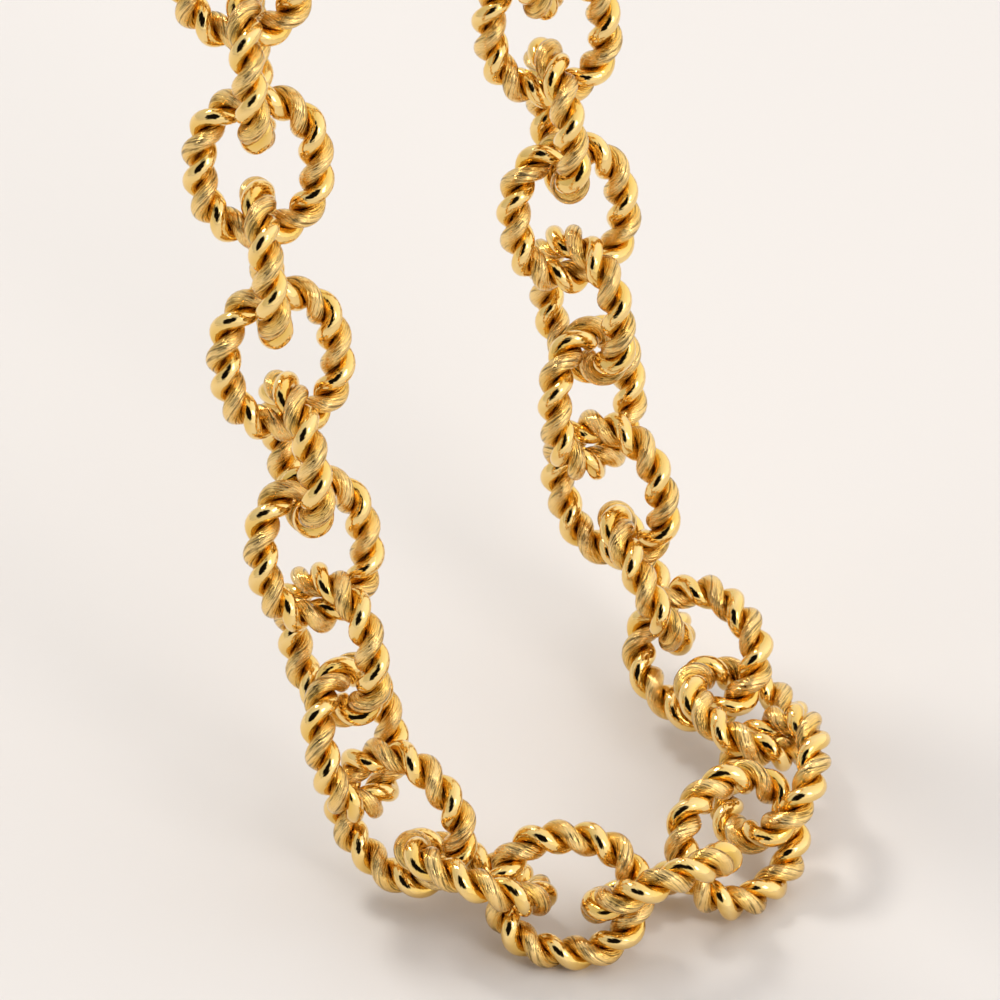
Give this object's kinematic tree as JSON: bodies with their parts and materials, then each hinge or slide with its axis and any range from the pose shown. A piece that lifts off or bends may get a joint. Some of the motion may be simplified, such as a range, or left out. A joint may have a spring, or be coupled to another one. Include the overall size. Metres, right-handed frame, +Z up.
{
  "type": "chain necklace",
  "caption": "Chain necklace of oval links bent from twisted two-strand rope, with a plain clasp, in polished gold-coloured metal.",
  "frame": {"origin": "under the middle of the clasp's bar, where the necklace hangs from a neck or a hook", "axes": "+Z up, the necklace's longest extent; X along the plane of the two hanging strands; +Y away from the lower bend"},
  "size_m": [0.0665, 0.0757, 0.1638],
  "materials": {
    "gold_plate": "polished gold plate"
  },
  "bodies": {
    "root": {"link_01": "gold_plate", "link_02": "gold_plate", "link_03": "gold_plate", "link_04": "gold_plate", "link_05": "gold_plate", "link_06": "gold_plate", "link_07": "gold_plate", "link_08": "gold_plate", "link_09": "gold_plate", "link_10": "gold_plate", "link_11": "gold_plate", "link_12": "gold_plate", "link_13": "gold_plate", "link_14": "gold_plate", "link_15": "gold_plate", "link_16": "gold_plate", "link_17": "gold_plate", "link_18": "gold_plate", "link_19": "gold_plate", "link_20": "gold_plate", "link_21": "gold_plate", "link_22": "gold_plate", "link_23": "gold_plate", "link_24": "gold_plate", "link_25": "gold_plate", "link_26": "gold_plate", "link_27": "gold_plate", "link_28": "gold_plate", "link_29": "gold_plate", "link_30": "gold_plate", "link_31": "gold_plate", "link_32": "gold_plate", "link_33": "gold_plate", "link_34": "gold_plate", "link_35": "gold_plate", "link_36": "gold_plate", "link_37": "gold_plate", "clasp": "gold_plate"}
  },
  "joints": []
}
